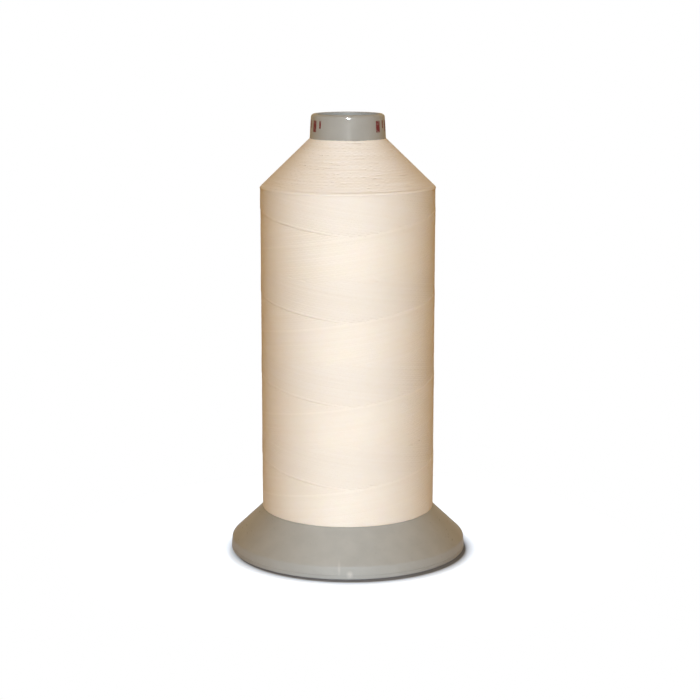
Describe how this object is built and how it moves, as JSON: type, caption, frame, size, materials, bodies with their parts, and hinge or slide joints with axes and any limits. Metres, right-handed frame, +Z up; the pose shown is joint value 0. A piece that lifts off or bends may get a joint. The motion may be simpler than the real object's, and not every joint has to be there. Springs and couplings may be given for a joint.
{
  "type": "thread spool",
  "caption": "Tall foot spool wound with waxed thread: tapered tube with bare collar, bell-shaped foot, and a base that snaps open to hold the thread's end.",
  "frame": {"origin": "centre of the foot's ring, on the surface the spool stands on", "axes": "+Z up along the spool's axis; -Y is the front, and the slot for the thread's end is at the back, 122 degrees round from +X"},
  "size_m": [0.09, 0.09, 0.1665],
  "materials": {
    "spool_plastic": "moulded grey plastic, satin to semi-gloss",
    "waxed_thread": "cream waxed thread, close cross winding, soft sheen"
  },
  "bodies": {
    "spool": {"spool_tube": "spool_plastic", "foot_flange": "spool_plastic", "thread_package": "waxed_thread", "thread_tail": "waxed_thread"},
    "base": {"base_cap": "spool_plastic"}
  },
  "joints": [
    {"name": "base_snap", "type": "slide", "parent": "spool", "child": "base", "axis": [0, 0, -1], "range_m": [0, 0.0025]}
  ]
}
